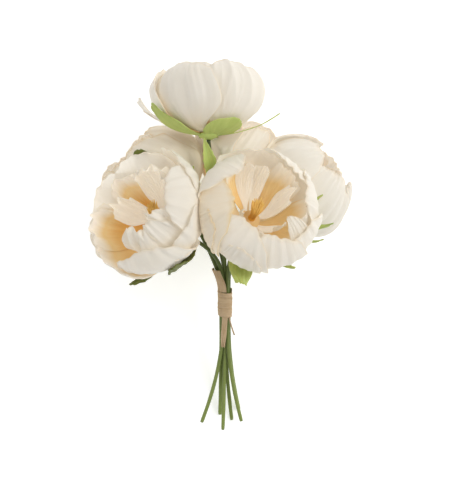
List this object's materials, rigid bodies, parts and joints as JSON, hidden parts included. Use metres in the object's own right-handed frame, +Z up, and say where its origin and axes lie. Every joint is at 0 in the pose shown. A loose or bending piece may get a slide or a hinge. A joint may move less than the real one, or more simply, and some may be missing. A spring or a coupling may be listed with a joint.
{
  "type": "bunch of peonies",
  "caption": "Tied bunch of cream peony heads on green stems, lying down, with layered petals, stamens, sepals, leaves and a raffia tie.",
  "frame": {"origin": "on the surface that the bunch lies on, under the middle of its box", "axes": "+Y along the bunch from the cut stem ends to the heads, +X to the right seen from above, +Z up from the surface"},
  "size_m": [0.2101, 0.2986, 0.1378],
  "materials": {
    "petal": "cream fabric petals, finely woven and pleated, peach towards the root",
    "stamen": "matt yellow threads with darker tips",
    "calyx": "light green fabric sepals with fine ribs",
    "stem": "matt green moulded stems and dark green fabric leaves",
    "raffia": "dry tan raffia with fine fibres along it"
  },
  "bodies": {
    "root": {"top_petals": "petal", "top_stamens": "stamen", "top_calyx": "calyx", "top_stem": "stem", "left_front_petals": "petal", "left_front_stamens": "stamen", "left_front_calyx": "calyx", "left_front_stem": "stem", "right_front_petals": "petal", "right_front_stamens": "stamen", "right_front_calyx": "calyx", "right_front_stem": "stem", "left_back_petals": "petal", "left_back_stamens": "stamen", "left_back_calyx": "calyx", "left_back_stem": "stem", "right_back_petals": "petal", "right_back_stamens": "stamen", "right_back_calyx": "calyx", "right_back_stem": "stem", "middle_back_petals": "petal", "middle_back_stamens": "stamen", "middle_back_calyx": "calyx", "middle_back_stem": "stem", "raffia_tie": "raffia"}
  },
  "joints": []
}
